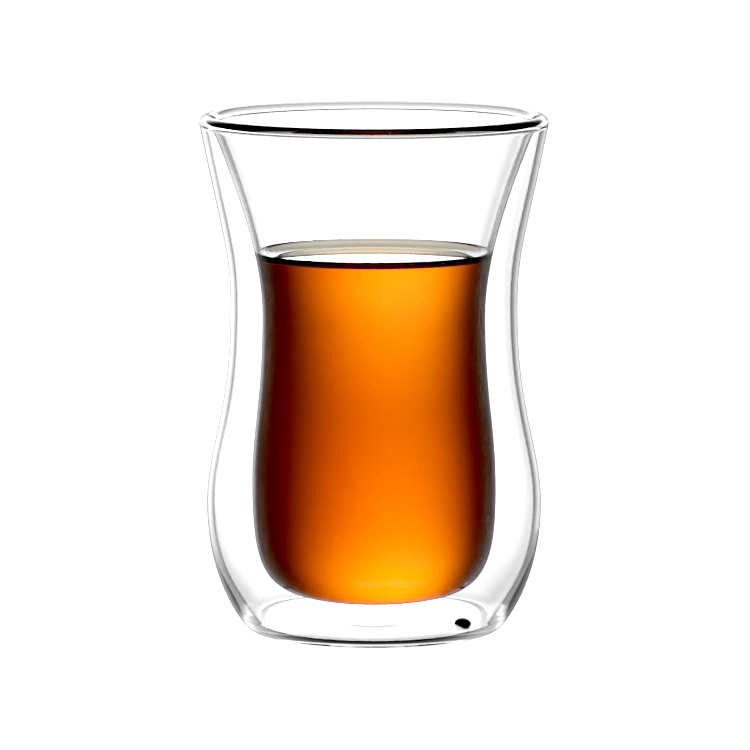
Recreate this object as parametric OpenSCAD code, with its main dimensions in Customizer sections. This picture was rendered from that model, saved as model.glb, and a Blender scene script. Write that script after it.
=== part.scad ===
// Double-walled Turkish tea glass, filled with tea.
// A tulip-waisted outer shell and a smaller inner bulb are fused together at one rounded lip.
// The space between them is closed but for a small vent in the base, which a rubber plug fills.
// The glass stands at the origin on its base, with its axis along +Z.

/* [Overall] */
// Height of the glass
glass_h = 90; // [84:1:98]
// Outside diameter at the lip
rim_d = 60.5; // [58:0.5:64]
// Thickness of the blown walls
wall = 1.0; // [0.8:0.1:1.2]
// Thickness of the rounded lip where the two walls are fused
lip_t = 3.0; // [2.8:0.1:3.4]

/* [Outer shell] */
// Diameter of the rim of the base, that the glass stands on
foot_d = 41.5; // [40.5:0.5:42.5]
// Diameter over the belly
belly_d = 58.3; // [56:0.1:60]
// Diameter at the waist
waist_d = 49.9; // [49:0.1:53]
// Glass thickness where the side turns into the base
corner_t = 1.65; // [1.4:0.05:1.9]
// Glass thickness of the base
base_t = 1.0; // [0.9:0.1:1.4]
// Diameter of the shallow round mark pressed in the underside
mark_d = 15.2; // [10:0.2:20]
// Depth of that mark
mark_depth = 0.3; // [0.1:0.05:0.4]

/* [Inner bulb] */
// Inside diameter over the bulb's belly
bulb_belly_d = 40.6; // [39:0.1:42]
// Inside diameter at the bulb's waist
bulb_waist_d = 36.8; // [35:0.2:39]
// Height of the bulb's inside bottom above the table
bulb_floor = 6.5; // [6:0.1:8]

/* [Tea] */
// Height of the level tea surface above the table
tea_level = 65.2; // [40:0.1:76]
// How far the tea climbs the wall at its edge
meniscus_h = 1.4; // [0.5:0.1:2]

/* [Vent] */
// Diameter of the vent hole in the base
vent_d = 2.2; // [1.6:0.1:2.4]
// Distance of the vent from the axis
vent_r = 16.6; // [12:0.1:16.6]
// Direction of the vent from the axis
vent_angle = -21; // [-90:1:90]

/* [Hidden] */
$fn = 96;

// Heights of the stations, as shares of the whole height
corner_z = 0.0271 * glass_h;
belly_z = 0.2465 * glass_h;
waist_z = 0.6288 * glass_h;
bulb_belly_z = 0.2735 * glass_h;
bulb_waist_z = 0.6101 * glass_h;

// The turn from side to base, and how steeply each wall meets the lip
corner_r = 0.4077 * belly_d;
corner_lean = 33.5;
outer_flare = 11;
bulb_flare = 22;

// The lip is a ring of round section
lip_r = lip_t / 2;
lip = [rim_d / 2 - lip_r, glass_h - lip_r];

// The underside stands on a narrow flat ring and is very slightly hollowed within it
foot_r = foot_d / 2;
foot_w = 0.9;
hollow_edge = 0.1;
hollow_mid = 0.15;

// The cavity ends just under the lip's centre line, with a round top
cavity_top = glass_h - 0.7 * lip_t;
cavity_round = 0.9;

// The thickened corner fades into the thin wall over this height
corner_fade = 9.5;

// The cavity's side turns into its flat floor below this height, outside this share of the foot
floor_turn_z = 3.2;
floor_share = 0.92;
floor_reach = 1.7;
side_reach = 0.9;

// Points of a curve that lie closer than this to a seam are left out
seam_gap = 0.4;

// How fast the tea's edge falls back to the level
meniscus_reach = 1.3;

// The plug: a stem that fills the vent, with a domed head inside the cavity
plug_head_r = 1.55;
plug_head_h = 0.95;
plug_recess = 0.05;

// One cubic curve, sampled at n steps from p0 to p3
function bow(p0, p1, p2, p3, n) = [
    for (i = [0 : n])
        let (t = i / n, u = 1 - t)
        u * u * u * p0 + 3 * u * u * t * p1 + 3 * u * t * t * p2 + t * t * t * p3
];

// The direction that leans outward from straight up by an angle
function leaning(angle) = [sin(angle), cos(angle)];

// A list without its first point, to follow on from another list
function after_first(list) = [for (i = [1 : len(list) - 1]) list[i]];

function reversed(list) = [for (i = [len(list) - 1 : -1 : 0]) list[i]];

// The unit direction along a line of points at point i
function along(line, i) =
    let (step = line[min(i + 1, len(line) - 1)] - line[max(i - 1, 0)])
    step / norm(step);

// Outside of the outer shell, from the foot ring up to the lip
lip_outer = lip + lip_r * [cos(outer_flare), -sin(outer_flare)];
corner = [corner_r, corner_z];
belly = [belly_d / 2, belly_z];
waist = [waist_d / 2, waist_z];
turn_start = [corner_r - corner_z * tan(corner_lean), 0];
shell_outside = concat(
    bow([foot_r, 0], (2 * [foot_r, 0] + turn_start) / 3, turn_start, corner, 10),
    after_first(bow(corner, corner + 0.335 * (belly_z - corner_z) * leaning(corner_lean),
        belly - [0, 0.367 * (belly_z - corner_z)], belly, 14)),
    after_first(bow(belly, belly + [0, 0.287 * (waist_z - belly_z)],
        waist - [0, 0.546 * (waist_z - belly_z)], waist, 16)),
    after_first(bow(waist, waist + [0, 0.32 * (lip_outer.y - waist_z)],
        lip_outer - 0.598 * (lip_outer.y - waist_z) * leaning(outer_flare), lip_outer, 14))
);

// Inside of the inner bulb, from the middle of its floor up to the lip
lip_inner = lip + lip_r * [-cos(bulb_flare), sin(bulb_flare)];
bulb_belly = [bulb_belly_d / 2, bulb_belly_z];
bulb_waist = [bulb_waist_d / 2, bulb_waist_z];
bulb_inside = concat(
    bow([0, bulb_floor], [0.739 * bulb_belly.x, bulb_floor],
        bulb_belly - [0, 1.133 * (bulb_belly_z - bulb_floor)], bulb_belly, 20),
    after_first(bow(bulb_belly, bulb_belly + [0, 0.36 * (bulb_waist_z - bulb_belly_z)],
        bulb_waist - [0, 0.457 * (bulb_waist_z - bulb_belly_z)], bulb_waist, 14)),
    after_first(bow(bulb_waist, bulb_waist + [0, 0.293 * (lip_inner.y - bulb_waist_z)],
        lip_inner - 0.361 * (lip_inner.y - bulb_waist_z) * leaning(bulb_flare), lip_inner, 16))
);

// The lip's round section, from the outer shell over the top to the bulb
lip_steps = 14;
lip_turn = 180 + outer_flare - bulb_flare;
lip_round = [
    for (i = [1 : lip_steps - 1])
        let (a = -outer_flare + lip_turn * i / lip_steps)
        lip + lip_r * [cos(a), sin(a)]
];

// Both sides of the cavity lie one glass thickness behind the surfaces above
function shell_t(z) = wall + (corner_t - wall) * exp(-pow(z / corner_fade, 2));
shell_behind = [
    for (i = [0 : len(shell_outside) - 1])
        let (p = shell_outside[i], d = along(shell_outside, i))
        p + shell_t(p.y) * [-d.y, d.x]
];
bulb_behind = [
    for (i = [0 : len(bulb_inside) - 1])
        let (d = along(bulb_inside, i))
        i == 0 ? [0, bulb_floor - wall] : bulb_inside[i] + wall * [d.y, -d.x]
];
shell_side = [
    for (p = shell_behind)
        if (p.y > floor_turn_z + seam_gap && p.y < cavity_top - seam_gap) p
];
bulb_side = [for (p = bulb_behind) if (p.y < cavity_top - seam_gap) p];
shell_end = [lookup(cavity_top, [for (p = shell_behind) [p.y, p.x]]), cavity_top];
bulb_end = [lookup(cavity_top, [for (p = bulb_behind) [p.y, p.x]]), cavity_top];
cavity_end = bow(shell_end, shell_end + cavity_round * leaning(outer_flare),
    bulb_end + cavity_round * leaning(bulb_flare), bulb_end, 8);

// Height of the hollowed underside, and of the cavity's floor over it, at a radius
hollow_r = foot_r - foot_w - hollow_edge;
function hollow_z(r) = hollow_mid - (hollow_mid - hollow_edge) * pow(r / hollow_r, 2);
floor_steps = 8;
hollow = [for (i = [floor_steps : -1 : 0]) let (r = hollow_r * i / floor_steps) [r, hollow_z(r)]];
floor_r = floor_share * foot_r;
cavity_floor = [
    for (i = [0 : floor_steps])
        let (r = floor_r * i / floor_steps)
        [r, hollow_z(r) + base_t]
];
floor_end = cavity_floor[floor_steps];
turn_end = [lookup(floor_turn_z, [for (p = shell_behind) [p.y, p.x]]), floor_turn_z];
cavity_turn = bow(floor_end, floor_end + [floor_reach, 0],
    turn_end - side_reach * leaning(corner_lean), turn_end, 10);

// Surface of the tea, from its edge on the wall in to the middle
tea_top = tea_level + meniscus_h;
tea_edge_r = lookup(tea_top, [for (p = bulb_inside) [p.y, p.x]]);
tea_steps = 12;
function tea_z(depth) = tea_level + meniscus_h * exp(-pow(depth / meniscus_reach, 1.2));
tea_surface = [
    for (i = [0 : tea_steps])
        let (depth = 3.2 * meniscus_reach * pow(i / tea_steps, 1.5))
        [tea_edge_r - depth, tea_z(depth)]
];
tea_side = [for (p = bulb_inside) if (p.y < tea_top - seam_gap) p];

vent_at = [vent_r * cos(vent_angle), vent_r * sin(vent_angle)];
vent_under = hollow_z(vent_r);
vent_over = vent_under + base_t;

// Everything inside the outer shell's skin, as a full body of revolution
module shell_body() {
    rotate_extrude()
        polygon(concat(hollow, [[0, glass_h - lip_t]],
            [lip_inner], reversed(lip_round), reversed(shell_outside), [[foot_r - foot_w, 0]]));
}

// The room inside the bulb, open at the top
module bowl() {
    rotate_extrude()
        polygon(concat(bulb_inside, [[0, lip_inner.y]]));
}

// The air space between the shell and the bulb
module cavity() {
    rotate_extrude()
        polygon(concat(cavity_floor, after_first(cavity_turn), shell_side, cavity_end,
                reversed(bulb_side)));
}

module glass() {
    color([0.93, 0.96, 0.97, 0.35])
        difference() {
            shell_body();
            bowl();
            cavity();
            translate([vent_at.x, vent_at.y, -1])
                cylinder(h = vent_over + 2, d = vent_d, $fn = 32);
            translate([0, 0, -1])
                cylinder(h = hollow_mid + mark_depth + 1, d = mark_d);
        }
}

module tea() {
    color([0.86, 0.36, 0.04, 0.9])
        rotate_extrude()
            polygon(concat(tea_side, tea_surface, [[0, tea_level]]));
}

// The plug's half section runs from the stem's underside up to the top of the dome
module vent_plug() {
    dome_steps = 8;
    dome = [
        for (i = [0 : dome_steps])
            let (a = 90 * i / dome_steps)
            [plug_head_r * cos(a), vent_over + plug_head_h * sin(a)]
    ];
    color([0.16, 0.16, 0.17])
        translate([vent_at.x, vent_at.y, 0])
            rotate_extrude($fn = 48)
                polygon(concat([
                    [0, vent_under + plug_recess],
                    [vent_d / 2, vent_under + plug_recess],
                    [vent_d / 2, vent_over]
                ], dome));
}

glass();
tea();
vent_plug();
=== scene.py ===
# %% [markdown]
# # A double-walled tea glass, filled with tea
#
# This lesson builds a small blown glass with two walls, the tea in it, and the soft plug in its base.
# A drawing program has already made the exact solids. We read the boxes round the loaded solids, to
# take the sizes of the glass and its plug from them.

# %% Open the frame
import math
import random

import bmesh
import bpy
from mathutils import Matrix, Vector, noise


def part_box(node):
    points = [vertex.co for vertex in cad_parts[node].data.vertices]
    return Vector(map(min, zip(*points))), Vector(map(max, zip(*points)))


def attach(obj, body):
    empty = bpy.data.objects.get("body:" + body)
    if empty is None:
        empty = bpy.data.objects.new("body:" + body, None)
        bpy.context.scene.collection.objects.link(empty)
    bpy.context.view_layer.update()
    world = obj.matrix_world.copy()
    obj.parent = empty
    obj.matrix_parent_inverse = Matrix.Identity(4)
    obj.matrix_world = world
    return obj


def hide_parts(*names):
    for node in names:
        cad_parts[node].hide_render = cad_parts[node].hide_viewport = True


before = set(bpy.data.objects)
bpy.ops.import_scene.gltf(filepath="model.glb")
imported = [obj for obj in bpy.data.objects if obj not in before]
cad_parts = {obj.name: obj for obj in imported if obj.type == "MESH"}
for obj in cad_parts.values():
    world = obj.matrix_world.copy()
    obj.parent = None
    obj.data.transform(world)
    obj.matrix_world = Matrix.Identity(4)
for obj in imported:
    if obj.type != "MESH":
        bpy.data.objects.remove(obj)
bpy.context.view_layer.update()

scene = bpy.context.scene

# %% [markdown]
# ## The profile of the glass
#
# A glassblower turns the tube while shaping it, so each surface is round about the axis. One half
# section says everything. It could be a curve object with a Screw modifier, but here the section is
# a list of points, because the second wall, the tea and the lip are all worked out from it.
# Each point is (distance from the axis, height), in millimetres.
# `bow` gives the points of one smooth cubic curve, as a bent steel rule would draw it. `swing` is a
# bow that leaves and meets its ends in given directions, with pulls that are shares of its rise.

# %% Measures and the curve helper
MM = 0.001
_, glass_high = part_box("glass")
glass_h = glass_high.z / MM
rim_r = glass_high.x / MM
wall = 1.0
lip_r = 1.5
print(f"glass is {glass_h:.1f} mm high, lip radius {rim_r:.2f} mm")


def spot(r, z):
    return Vector((r, z))


def leaning(angle):
    return spot(math.sin(math.radians(angle)), math.cos(math.radians(angle)))


def bow(start, start_pull, end_pull, end, steps):
    points = []
    for i in range(steps + 1):
        t = i / steps
        u = 1 - t
        points.append(u**3 * start + 3 * u * u * t * start_pull + 3 * u * t * t * end_pull + t**3 * end)
    return points


def swing(start, start_way, end, end_way, pulls, steps):
    rise = end.y - start.y
    start_pull = start + pulls[0] * rise * start_way
    end_pull = end - pulls[1] * rise * end_way
    return bow(start, start_pull, end_pull, end, steps)


def direction(line, i):
    return (line[min(i + 1, len(line) - 1)] - line[max(i - 1, 0)]).normalized()


# %% [markdown]
# ## The outside of the outer wall
#
# From the base the wall leans out over a rounded corner, swells into the belly, draws in at the
# waist, and flares to the lip. Four curves do it. Each starts in the direction in which the last
# one ended, so light runs over the joins without a crease.

# %% Outer wall, base to lip
foot_r = 20.75
outer_flare = 11
corner_lean = 33.5
lip = spot(rim_r - lip_r, glass_h - lip_r)
lip_outer = lip + lip_r * leaning(90 + outer_flare)
corner = spot(23.769, 0.0271 * glass_h)
belly = spot(29.15, 0.2465 * glass_h)
waist = spot(24.95, 0.6288 * glass_h)
turn_start = spot(corner.x - corner.y * math.tan(math.radians(corner_lean)), 0)
foot = spot(foot_r, 0)
up = spot(0, 1)

outside = bow(foot, (2 * foot + turn_start) / 3, turn_start, corner, steps=20)
outside += swing(corner, leaning(corner_lean), belly, up, pulls=(0.335, 0.367), steps=40)[1:]
outside += swing(belly, up, waist, up, pulls=(0.287, 0.546), steps=44)[1:]
outside += swing(waist, up, lip_outer, leaning(outer_flare), pulls=(0.32, 0.598), steps=40)[1:]
print("outside:", len(outside), "points, belly", round(2 * belly.x, 1), "waist", round(2 * waist.x, 1))

# %% [markdown]
# ## The inner bulb and the lip
#
# The inner bulb is blown apart from the outer shell and then fused to it at the lip. Its floor is
# round, as a bubble's is. The fused lip melts into a round bead, so its section is part of a
# circle that runs from one wall over the top to the other.

# %% Inner bulb, floor to lip, and the bead of the lip
bulb_flare = 22
bulb_floor = 6.5
bulb_belly = spot(20.3, 0.2735 * glass_h)
bulb_waist = spot(18.4, 0.6101 * glass_h)
lip_inner = lip - lip_r * leaning(90 + bulb_flare)
floor_middle = spot(0, bulb_floor)
floor_pull = spot(0.739 * bulb_belly.x, bulb_floor)
side_pull = bulb_belly - 1.133 * (bulb_belly.y - bulb_floor) * up

bulb = bow(floor_middle, floor_pull, side_pull, bulb_belly, steps=56)
bulb += swing(bulb_belly, up, bulb_waist, up, pulls=(0.36, 0.457), steps=36)[1:]
bulb += swing(bulb_waist, up, lip_inner, leaning(bulb_flare), pulls=(0.293, 0.361), steps=44)[1:]

bead_steps = 36
bead_turn = 180 + outer_flare - bulb_flare
bead = []
for i in range(1, bead_steps):
    angle = math.radians(bead_turn * i / bead_steps - outer_flare)
    bead.append(lip + lip_r * spot(math.cos(angle), math.sin(angle)))
print("bulb:", len(bulb), "points; bead:", len(bead), "points")

# %% [markdown]
# ## The sealed air space
#
# Between the walls lies air, which keeps the tea hot and the fingers cool. Both of its sides lie
# one glass thickness behind the surfaces above. The outer wall is thicker low down, where the
# molten glass gathered, and thins out with height. The base has a nearly flat floor.
# The underside is hollowed a little, and has a shallow round mark pressed in its middle.
# A logistic curve sinks the mark, so its rim is a soft step, as a press leaves in hot glass.

# %% Measures of the base and the air space
corner_t = 1.65
corner_fade = 9.5
base_t = 1.0
foot_w = 0.9
hollow_edge = 0.1
hollow_mid = 0.15
mark_r = 7.6
mark_depth = 0.3
mark_edge = 0.08
hollow_r = foot_r - foot_w - hollow_edge
floor_r = 0.92 * foot_r
floor_turn_z = 3.2
floor_reach = 1.7
side_reach = 0.9
cavity_top = glass_h - 1.4 * lip_r
cavity_round = 0.9
seam_gap = 0.15
print(f"base {base_t} mm thick, corner {corner_t} mm, walls {wall} mm")

# %% Heights of the underside, and thickness of the shell
largest_power = 60


def hollow_z(r):
    return hollow_mid - (hollow_mid - hollow_edge) * (r / hollow_r) ** 2


def mark_z(r):
    return mark_depth / (1 + math.exp(min((r - mark_r) / mark_edge, largest_power)))


def shell_t(z):
    return wall + (corner_t - wall) * math.exp(-((z / corner_fade) ** 2))


print("underside's height in the middle:", round(hollow_z(0) + mark_z(0), 2), "mm")

# %% The surfaces that lie one thickness behind


def crossing(line, z):
    """Where a line of points passes a height."""
    for a, b in zip(line, line[1:]):
        if (a.y - z) * (b.y - z) <= 0 and a.y != b.y:
            return a.lerp(b, (z - a.y) / (b.y - a.y))
    raise ValueError(f"the line doesn't reach {z}")


behind_outside = []
for i, p in enumerate(outside):
    d = direction(outside, i)
    behind_outside.append(p + shell_t(p.y) * spot(-d.y, d.x))
behind_bulb = [spot(0, bulb_floor - wall)]
for i in range(1, len(bulb)):
    d = direction(bulb, i)
    behind_bulb.append(bulb[i] + wall * spot(d.y, -d.x))

print("behind the outside:", len(behind_outside), "points; behind the bulb:", len(behind_bulb), "points")

# %% Underside, floor and ends of the air space
underside_steps = 160
underside = []
for i in range(underside_steps + 1):
    r = hollow_r * i / underside_steps
    underside.append(spot(r, hollow_z(r) + mark_z(r)))

floor_steps = 60
floor_line = []
for i in range(floor_steps + 1):
    r = floor_r * i / floor_steps
    floor_line.append(spot(r, hollow_z(r) + base_t))

floor_end = floor_line[-1]
turn_end = crossing(behind_outside, floor_turn_z)
turn_pull = turn_end - side_reach * leaning(corner_lean)
floor_turn = bow(floor_end, floor_end + spot(floor_reach, 0), turn_pull, turn_end, steps=24)

outer_end = crossing(behind_outside, cavity_top)
bulb_end = crossing(behind_bulb, cavity_top)
outer_pull = outer_end + cavity_round * leaning(outer_flare)
bulb_pull = bulb_end + cavity_round * leaning(bulb_flare)
cavity_end = bow(outer_end, outer_pull, bulb_pull, bulb_end, steps=18)
print("air space from", round(floor_end.y, 2), "to", round(max(p.y for p in cavity_end), 2), "mm")

# %% The two closed profiles
skin_line = underside + [spot(foot_r - foot_w, 0)] + outside + bead + bulb[::-1]
air_line = floor_line + floor_turn[1:]
air_line += [p for p in behind_outside if floor_turn_z + seam_gap < p.y < cavity_top - seam_gap]
air_line += cavity_end
air_line += [p for p in behind_bulb[::-1] if p.y < cavity_top - seam_gap]
print("skin:", len(skin_line), "points; air space:", len(air_line), "points")

# %% [markdown]
# ## Turning a profile into a mesh
#
# A Screw modifier could spin the profile, but doing it in code lets each surface be a little
# uneven, as hand work is. Real walls wander by a few hundredths of a millimetre, and refraction
# makes even that visible. A smooth noise moves the hidden side of each wall by that much.
# A point on the axis becomes one vertex, which closes the mesh with a fan of triangles.

# %% Lathe helper
around = 192
waviness_across = 0.07
waviness_along = 0.05
on_axis = 1e-6


def lathe(name, line, inward=False, unevenness=0.0, seed=0.0):
    mesh = bpy.data.meshes.new(name)
    bm = bmesh.new()
    rings = []
    for p in line:
        if p.x < on_axis:
            rings.append([bm.verts.new((0, 0, p.y * MM))])
            continue
        ring = []
        for k in range(around):
            angle = 2 * math.pi * k / around
            x = p.x * math.cos(angle)
            y = p.x * math.sin(angle)
            place = Vector((x * waviness_across + seed, y * waviness_across, p.y * waviness_along))
            r = p.x + unevenness * noise.noise(place)
            ring.append(bm.verts.new((r * math.cos(angle) * MM, r * math.sin(angle) * MM, p.y * MM)))
        rings.append(ring)
    for low, high in zip(rings, rings[1:]):
        for k in range(around):
            n = (k + 1) % around
            if len(low) == 1:
                corners = (low[0], high[k], high[n])
            elif len(high) == 1:
                corners = (low[k], high[0], low[n])
            else:
                corners = (low[k], high[k], high[n], low[n])
            bm.faces.new(corners).smooth = True
    bmesh.ops.recalc_face_normals(bm, faces=bm.faces)
    if inward:
        bmesh.ops.reverse_faces(bm, faces=bm.faces)
    bm.to_mesh(mesh)
    bm.free()
    made = bpy.data.objects.new(name, mesh)
    scene.collection.objects.link(made)
    return made


def join(kept, *others):
    bpy.ops.object.select_all(action="DESELECT")
    for o in (kept, *others):
        o.select_set(True)
    bpy.context.view_layer.objects.active = kept
    bpy.ops.object.join()
    return kept


print("lathe turns each point into", around, "vertices")

# %% [markdown]
# ## The glass
#
# The glass is one piece: the skin that air or tea touches outside, and the wall of the sealed
# air space inside. Blender knows solid glass from air by which way the faces look, so the faces
# of the air space look inward, into the air, and both surfaces together are one mesh.
# The glass from the drawing program stays, hidden, and this one is shown in its place. The
# glass from the drawing program stays for collisions, and this one is shown in its place.

# %% Glass
hand_work = 0.05
glass = lathe("double_wall_glass", skin_line)
air_space = lathe("air_space", air_line, inward=True, unevenness=hand_work, seed=3.0)
glass = join(glass, air_space)
print("glass faces:", len(glass.data.polygons))
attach(glass, "root")
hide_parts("glass")

# %% [markdown]
# ## The tea
#
# The tea fills the bulb up to its level, and climbs the wall at its edge by surface tension.
# That climb falls away quickly from the wall, so an exponential describes it well. The points of
# the surface lie closer together near the wall, where it bends.
# If the tea only touched the glass, rays would meet two surfaces in the same place, or a film
# of air. So the tea reaches a few hundredths of a millimetre into the wall, which looks like wet
# contact. A few tiny bubbles float near the wall, as closed little shells whose faces look inward.

# %% Tea
tea_level = 65.2
climb = 1.4
climb_reach = 1.3
climb_fall = 1.2
into_wall = 0.06
tea_top = tea_level + climb
edge = crossing(bulb, tea_top)
surface_steps = 48
crowding = 1.8

tea_line = [spot(0, bulb_floor - into_wall)]
for i in range(1, len(bulb)):
    d = direction(bulb, i)
    if bulb[i].y < tea_top - into_wall:
        tea_line.append(bulb[i] + into_wall * spot(d.y, -d.x))
tea_line.append(edge + spot(into_wall, 0))
for i in range(surface_steps):
    depth = edge.x * (i / surface_steps) ** crowding
    raised = climb * math.exp(-((depth / climb_reach) ** climb_fall))
    tea_line.append(spot(edge.x - depth, tea_level + raised))
tea_line.append(spot(0, tea_level))
tea = lathe("tea_fill", tea_line)
print("tea: surface edge radius", round(edge.x, 2), "mm, faces", len(tea.data.polygons))

# %% Bubbles in the tea
random.seed(11)
bubble_count = 14
bm = bmesh.new()
bm.from_mesh(tea.data)
for _ in range(bubble_count):
    height = random.uniform(12, 62)
    from_wall = random.uniform(0.5, 2.5)
    turn = random.uniform(0, 2 * math.pi)
    size = random.uniform(0.07, 0.16)
    reach = crossing(bulb, height).x - from_wall
    centre = Vector((reach * math.cos(turn), reach * math.sin(turn), height)) * MM
    made = bmesh.ops.create_icosphere(bm, subdivisions=2, radius=size * MM)
    bmesh.ops.translate(bm, verts=made["verts"], vec=centre)
    faces = list({f for v in made["verts"] for f in v.link_faces})
    bmesh.ops.reverse_faces(bm, faces=faces)
    for f in faces:
        f.smooth = True
bm.to_mesh(tea.data)
bm.free()
print("bubbles:", bubble_count)
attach(tea, "root")
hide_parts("tea")

# %% [markdown]
# ## The vent plug
#
# A sealed air space would burst in the furnace, so the maker leaves a small hole in the base and
# closes it afterwards with a soft plug. Its stem fills the hole, and its head is a low dome. As
# none of the hole is left to see, the glass above is made without it, and the stem lies in the
# glass. The plug is turned on the same lathe and then moved to its place.

# %% Plug
plug_low, plug_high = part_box("vent_plug")
plug_centre = (plug_low + plug_high) / 2
head_r = (plug_high.x - plug_low.x) / 2 / MM
plug_top = plug_high.z / MM
head_h = 0.95
stem_r = 1.1
head_z = plug_top - head_h
stem_low = plug_low.z / MM
edge_round = 0.12
dome_start = 6
dome_steps = 15
plug_line = [spot(0, stem_low), spot(stem_r - edge_round, stem_low)]
plug_line += [spot(stem_r, stem_low + edge_round), spot(stem_r, head_z)]
plug_line += [spot(head_r - edge_round, head_z)]
for i in range(dome_steps):
    angle = math.radians(dome_start + (90 - dome_start) * i / dome_steps)
    plug_line.append(spot(head_r * math.cos(angle), head_z + head_h * math.sin(angle)))
plug_line.append(spot(0, plug_top))
plug = lathe("soft_vent_plug", plug_line)
plug.location = (plug_centre.x, plug_centre.y, 0)
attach(plug, "root")
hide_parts("vent_plug")
print("plug at", [round(c / MM, 1) for c in plug_centre], "mm, head radius", round(head_r, 2))

# %% [markdown]
# ## Materials: helpers
#
# Each material starts from the Principled shader, and its nodes add the small unevenness of the
# real finish. These helpers make a material, a noise, a bump from it, and a tint from it that runs
# between two colours, so that each recipe below stays short.

# %% Material helpers


def new_material(name):
    material = bpy.data.materials.new(name)
    material.use_nodes = True
    nodes = material.node_tree.nodes
    return material, nodes, material.node_tree.links, nodes["Principled BSDF"]


def add_noise(nodes, links, scale, detail=2.0):
    where = nodes.new("ShaderNodeTexCoord")
    texture = nodes.new("ShaderNodeTexNoise")
    texture.inputs["Scale"].default_value = scale
    texture.inputs["Detail"].default_value = detail
    links.new(where.outputs["Object"], texture.inputs["Vector"])
    return texture


def add_bump(nodes, links, texture, shader, strength, height):
    bump = nodes.new("ShaderNodeBump")
    bump.inputs["Strength"].default_value = strength
    bump.inputs["Distance"].default_value = height
    links.new(texture.outputs["Fac"], bump.inputs["Height"])
    links.new(bump.outputs["Normal"], shader.inputs["Normal"])


def add_tint(nodes, links, texture, shader, low, high, start=0.35, end=0.65):
    ramp = nodes.new("ShaderNodeValToRGB")
    ramp.color_ramp.elements[0].position = start
    ramp.color_ramp.elements[0].color = (*low, 1)
    ramp.color_ramp.elements[1].position = end
    ramp.color_ramp.elements[1].color = (*high, 1)
    links.new(texture.outputs["Fac"], ramp.inputs["Fac"])
    links.new(ramp.outputs["Color"], shader.inputs["Base Color"])


print("material helpers ready")

# %% [markdown]
# ## Clear borosilicate glass
#
# Borosilicate glass bends light a little less than window glass, with an index near 1.47, and it
# has almost no colour. A low bump gives it the slight ripple of blown glass.
# Where the line of sight only grazes a wall, a real glass bends and mirrors light from the darker
# room around it, so a clear glass shows as fine grey outlines. Path tracing alone would need a
# whole dark room for that. So the outlines are painted shade: a Layer Weight node, which knows how
# steeply a surface is seen, blends a dark shader in at the very edge instead.

# %% Glass material
glass_index = 1.47
faint_blue = (0.985, 0.99, 1.0)
colourless = (1.0, 1.0, 1.0)
clear, nodes, links, shader = new_material("clear_glass")
shader.inputs["Transmission Weight"].default_value = 1.0
shader.inputs["IOR"].default_value = glass_index
shader.inputs["Roughness"].default_value = 0.0
glass_noise = add_noise(nodes, links, scale=70.0, detail=1.0)
add_bump(nodes, links, glass_noise, shader, strength=0.25, height=0.05 * MM)
add_tint(nodes, links, glass_noise, shader, faint_blue, colourless)
print("glass index", glass_index)

# %% Painted shade at the edges of the glass
painted_shade_start = 0.80
painted_shade_full = 0.93
painted_shade_share = 0.95
painted_shade_grey = (0.05, 0.055, 0.06)
facing = nodes.new("ShaderNodeLayerWeight")
facing.inputs["Blend"].default_value = 0.5
painted_shade_band = nodes.new("ShaderNodeMapRange")
painted_shade_band.interpolation_type = "SMOOTHSTEP"
painted_shade_band.inputs["From Min"].default_value = painted_shade_start
painted_shade_band.inputs["From Max"].default_value = painted_shade_full
painted_shade_band.inputs["To Max"].default_value = painted_shade_share
# Painted shade: a near-black diffuse shader, blended over the glass where it is seen nearly edge-on.
painted_edge_shade = nodes.new("ShaderNodeBsdfDiffuse")
painted_edge_shade.inputs["Color"].default_value = (*painted_shade_grey, 1)
blend = nodes.new("ShaderNodeMixShader")
links.new(facing.outputs["Facing"], painted_shade_band.inputs["Value"])
links.new(painted_shade_band.outputs["Result"], blend.inputs[0])
links.new(shader.outputs["BSDF"], blend.inputs[1])
links.new(painted_edge_shade.outputs["BSDF"], blend.inputs[2])
links.new(blend.outputs["Shader"], nodes["Material Output"].inputs["Surface"])
glass.data.materials.clear()
glass.data.materials.append(clear)
print("outlines from facing", painted_shade_start, "to", painted_shade_full)

# %% [markdown]
# ## Black tea
#
# Tea is clear, and gets its colour from what it swallows on the way through. So the colour is a
# Volume Absorption and not paint: thin tea is yellow, and 4 cm of it is deep orange. Its surface
# has only a faint uneven tint, as the film on tea has.
# The node swallows (1 - colour) times density per metre in each channel. To swallow a wanted
# amount in red, green and blue, the density is the greatest of the three.

# %% Tea material
tea_index = 1.333
tea_deep = (0.97, 0.91, 0.76)
tea_pale = (1.0, 0.97, 0.84)
swallowed = (16.5, 69.5, 150.0)
strongest = max(swallowed)
way_through = 0.038
steeped, nodes, links, shader = new_material("black_tea")
shader.inputs["Transmission Weight"].default_value = 1.0
shader.inputs["IOR"].default_value = tea_index
shader.inputs["Roughness"].default_value = 0.0
tea_noise = add_noise(nodes, links, scale=60.0, detail=1.0)
add_bump(nodes, links, tea_noise, shader, strength=0.1, height=0.03 * MM)
add_tint(nodes, links, tea_noise, shader, tea_deep, tea_pale)
absorb = nodes.new("ShaderNodeVolumeAbsorption")
absorb.inputs["Color"].default_value = (*(1 - s / strongest for s in swallowed), 1)
absorb.inputs["Density"].default_value = strongest
links.new(absorb.outputs["Volume"], nodes["Material Output"].inputs["Volume"])
tea.data.materials.append(steeped)
light_left = [round(math.exp(-s * way_through), 3) for s in swallowed]
print("light left after", way_through, "m:", light_left)

# %% [markdown]
# ## Soft black silicone
#
# Silicone is dark and satin, with a skin of fine grain. A noise varies its grey and its bump.

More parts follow.
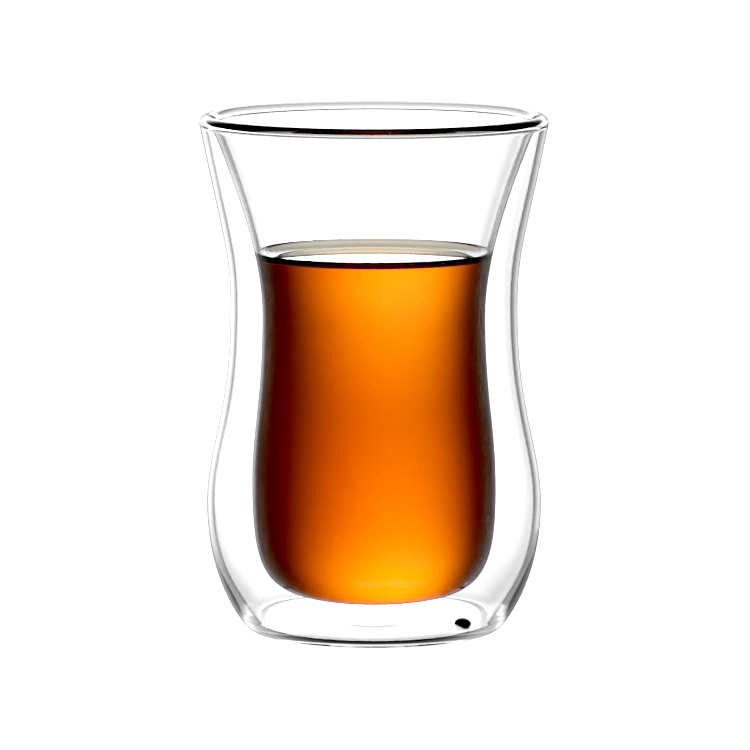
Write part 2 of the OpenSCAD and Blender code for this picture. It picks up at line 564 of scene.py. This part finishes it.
# %% Plug material
soot = (0.006, 0.006, 0.007)
charcoal = (0.022, 0.022, 0.024)
satin = 0.42
silicone, nodes, links, shader = new_material("plug_rubber")
shader.inputs["Roughness"].default_value = satin
grain = add_noise(nodes, links, scale=2600.0, detail=3.0)
add_bump(nodes, links, grain, shader, strength=0.3, height=0.04 * MM)
add_tint(nodes, links, grain, shader, soot, charcoal)
plug.data.materials.append(silicone)
print("silicone roughness", satin)

# %% [markdown]
# ## The table
#
# A clear glass shows best on a white table lit from within, where no shadow spoils it. The table
# here is a wide plane that shines softly. Rays that have passed through the glass, or bounced off
# it, skip the table and see the studio's light instead, which keeps the dark lines of the base.

# %% Table
table_size = 8.0
table_shine = 2.0
opal_roughness = 0.8
opal_grey = (0.88, 0.88, 0.88)
opal_white = (0.9, 0.9, 0.9)
bpy.ops.mesh.primitive_plane_add(size=table_size, location=(0, 0, 0))
table = bpy.context.object
table.name = "white_table"
table.visible_transmission = False
table.visible_glossy = False
opal, nodes, links, shader = new_material("opal_table")
shader.inputs["Roughness"].default_value = opal_roughness
shader.inputs["Emission Color"].default_value = (1, 1, 1, 1)
shader.inputs["Emission Strength"].default_value = table_shine
opal_noise = add_noise(nodes, links, scale=3.0)
add_tint(nodes, links, opal_noise, shader, opal_grey, opal_white)
table.data.materials.append(opal)
print("table", table_size, "m wide, shines with", table_shine)

# %% [markdown]
# ## The studio light
#
# Glass and drinks look best lit from behind. A round soft lamp behind a white sheet gives one
# glow that fades out smoothly, and the rest of the room is dim, so that it doesn't veil the tea.
# A world shader can be that room: it gets a direction and answers with a brightness. The azimuth
# is 0 straight behind the glass and grows to the right, and the elevation is above the horizon.
# The glow is a bell curve in both. A second, weak and wide one is the sheet of white card that
# runs down behind the glass to the table. Two Float Curves make the dim room.
# A dim room is right for reflections, but a clear glass seen from behind would look smoky in it,
# and in a real studio the lights would be turned round with the camera. Here white walls stand
# beside and in front of the glass, and white lies below it. Light Path lets a ray see them only if
# nothing has mirrored it.

# %% World: directions
world = bpy.data.worlds.new("studio")
scene.world = world
world.use_nodes = True
nodes = world.node_tree.nodes
links = world.node_tree.links
nodes.clear()
room_out = nodes.new("ShaderNodeOutputWorld")
where = nodes.new("ShaderNodeTexCoord")
split = nodes.new("ShaderNodeSeparateXYZ")
links.new(where.outputs["Generated"], split.inputs["Vector"])


def sum_node(operation, *values):
    node = nodes.new("ShaderNodeMath")
    node.operation = operation
    for socket, value in zip(node.inputs, values):
        if isinstance(value, (int, float)):
            socket.default_value = value
        else:
            links.new(value, socket)
    return node.outputs[0]


degrees = 180 / math.pi
azimuth = sum_node("MULTIPLY", sum_node("ARCTAN2", split.outputs["X"], split.outputs["Y"]), degrees)
elevation = sum_node("MULTIPLY", sum_node("ARCSINE", split.outputs["Z"]), degrees)
off_axis = sum_node("ABSOLUTE", azimuth)
print("nodes that work out the direction:", len(nodes))

# %% World: the glow behind the glass
glow_strength = 10.2
glow_azimuth = -4.5
glow_elevation = 6.0
glow_width = 10.6
glow_height = 12.0


def bell(value, centre, width):
    away = sum_node("DIVIDE", sum_node("SUBTRACT", value, centre), width)
    return sum_node("MULTIPLY", sum_node("MULTIPLY", away, away), -0.5)


def soft_lamp(strength, across, along):
    """Light that fades from its middle by a bell curve across and one along."""
    return sum_node("MULTIPLY", sum_node("EXPONENT", sum_node("ADD", across, along)), strength)


glow_across = bell(azimuth, glow_azimuth, glow_width)
glow_along = bell(elevation, glow_elevation, glow_height)
glow = soft_lamp(glow_strength, glow_across, glow_along)
print("glow", glow_strength, "at azimuth", glow_azimuth, "elevation", glow_elevation)

# %% World: the sheet of card
sheet_strength = 0.6
sheet_elevation = -32.0
sheet_width = 27.0
sheet_height = 13.0
sheet_across = bell(azimuth, 0.0, sheet_width)
sheet_along = bell(elevation, sheet_elevation, sheet_height)
sheet = soft_lamp(sheet_strength, sheet_across, sheet_along)
print("sheet", sheet_strength, "at elevation", sheet_elevation)

# %% World: the dim room


def curve(value, points):
    """A smooth curve through (degrees, level) points."""
    node = nodes.new("ShaderNodeFloatCurve")
    line = node.mapping.curves[0]
    first, last = points[0][0], points[-1][0]
    most = max(level for _, level in points)
    line.points[0].location = (0, points[0][1] / most)
    line.points[-1].location = (1, points[-1][1] / most)
    for at, level in points[1:-1]:
        line.points.new((at - first) / (last - first), level / most)
    node.mapping.update()
    share = sum_node("DIVIDE", sum_node("SUBTRACT", value, first), last - first)
    links.new(share, node.inputs["Value"])
    return sum_node("MULTIPLY", node.outputs[0], most)


room_around = [(0, 0.24), (45, 0.18), (60, 0.115), (75, 0.06), (90, 0.07), (135, 0.15), (180, 0.15)]
room_upward = [(-90, 0.15), (-45, 0.3), (-25, 1.0), (25, 1.0), (50, 0.5), (90, 0.3)]
dim_room = sum_node("MULTIPLY", curve(off_axis, room_around), curve(elevation, room_upward))
print("dim room's level straight behind the glass:", room_around[0][1])

# %% World: white walls and table, seen only by rays that nothing has mirrored
wall_around = [(0, 0.0), (72, 0.0), (84, 1.0), (94, 1.7), (110, 1.9), (140, 1.9), (180, 1.9)]
wall_upward = [(-90, 0.0), (-62, 0.4), (-46, 1.0), (-30, 1.0), (50, 1.0), (70, 0.9), (90, 0.6)]
table_downward = [(-90, 1.7), (-62, 1.6), (-50, 1.1), (-42, 0.2), (-36, 0.0)]
table_downward += [(0, 0.0), (45, 0.0), (90, 0.0)]
none_yet = 0.5
path = nodes.new("ShaderNodeLightPath")
unmirrored = sum_node("LESS_THAN", path.outputs["Glossy Depth"], none_yet)
walls = sum_node("MULTIPLY", curve(off_axis, wall_around), curve(elevation, wall_upward))
walls_and_table = sum_node("ADD", walls, curve(elevation, table_downward))
white_room = sum_node("MULTIPLY", walls_and_table, unmirrored)
room = sum_node("ADD", dim_room, white_room)
print("white walls' level:", wall_around[-1][1], "and the white below:", table_downward[0][1])

# %% World: all the light together
studio = nodes.new("ShaderNodeBackground")
studio.inputs["Color"].default_value = (1, 1, 1, 1)
lamps = sum_node("ADD", glow, sheet)
links.new(sum_node("ADD", lamps, room), studio.inputs["Strength"])
print("world nodes:", len(nodes))

# %% World: a plain white backdrop for the camera
backdrop_shine = 2.0
backdrop = nodes.new("ShaderNodeBackground")
backdrop.inputs["Color"].default_value = (1, 1, 1, 1)
backdrop.inputs["Strength"].default_value = backdrop_shine
pick = nodes.new("ShaderNodeMixShader")
links.new(path.outputs["Is Camera Ray"], pick.inputs[0])
links.new(studio.outputs[0], pick.inputs[1])
links.new(backdrop.outputs[0], pick.inputs[2])
links.new(pick.outputs[0], room_out.inputs["Surface"])
print("backdrop shines with", backdrop_shine)

# %% [markdown]
# ## The camera
#
# A long lens from a metre away keeps the glass from looking tapered. It looks down by about
# seven degrees, so that the lip, the tea's surface and the base show as slim ovals. A small shift
# moves the picture's frame, and not the camera, to set the glass in the middle.

# %% Camera
eye = Vector((0, -1.0, 0.175))
aim = Vector((0, 0, 0.045))
lens_mm = 278.14
sensor_mm = 36
shift_right = 0.0013
shift_up = -0.0038
camera_data = bpy.data.cameras.new("long_lens")
camera = bpy.data.objects.new("long_lens", camera_data)
scene.collection.objects.link(camera)
camera.location = eye
camera.rotation_euler = (aim - eye).to_track_quat("-Z", "Y").to_euler()
camera_data.sensor_width = sensor_mm
camera_data.lens = lens_mm
camera_data.clip_end = 50
camera_data.shift_x = shift_right
camera_data.shift_y = shift_up
scene.camera = camera
print("looking down by", round(math.degrees(math.atan2(eye.z - aim.z, -eye.y)), 1), "degrees")

# %% [markdown]
# ## Tone and light paths
#
# Rays cross up to twenty surfaces here, so they need many bounces before they give up, and the
# glass may cast and pass focused light. The picture gets a gentle tone curve: a small black
# level takes away the veil of stray light, and the shoulder lets the brightest tea keep its colour.

# %% Light paths
most_bounces = 40
most_mirrorings = 20
brightest_bounce = 10.0
scene.cycles.max_bounces = most_bounces
scene.cycles.transmission_bounces = most_bounces
scene.cycles.glossy_bounces = most_mirrorings
scene.cycles.caustics_refractive = True
scene.cycles.caustics_reflective = True
scene.cycles.blur_glossy = 0.0
scene.cycles.sample_clamp_indirect = brightest_bounce
print("a ray may bounce", most_bounces, "times")

# %% Tone
black = 0.035
white = 1.7
tone_points = [(0.1, 0.17), (0.18, 0.3), (0.41, 0.59), (0.73, 0.84)]
scene.view_settings.view_transform = "Standard"
scene.view_settings.use_curve_mapping = True
tone = scene.view_settings.curve_mapping
tone.black_level = (black,) * 3
tone.white_level = (white,) * 3
combined = tone.curves[3]
for point in tone_points:
    combined.points.new(*point)
tone.update()
print("black level", black, "white level", white)
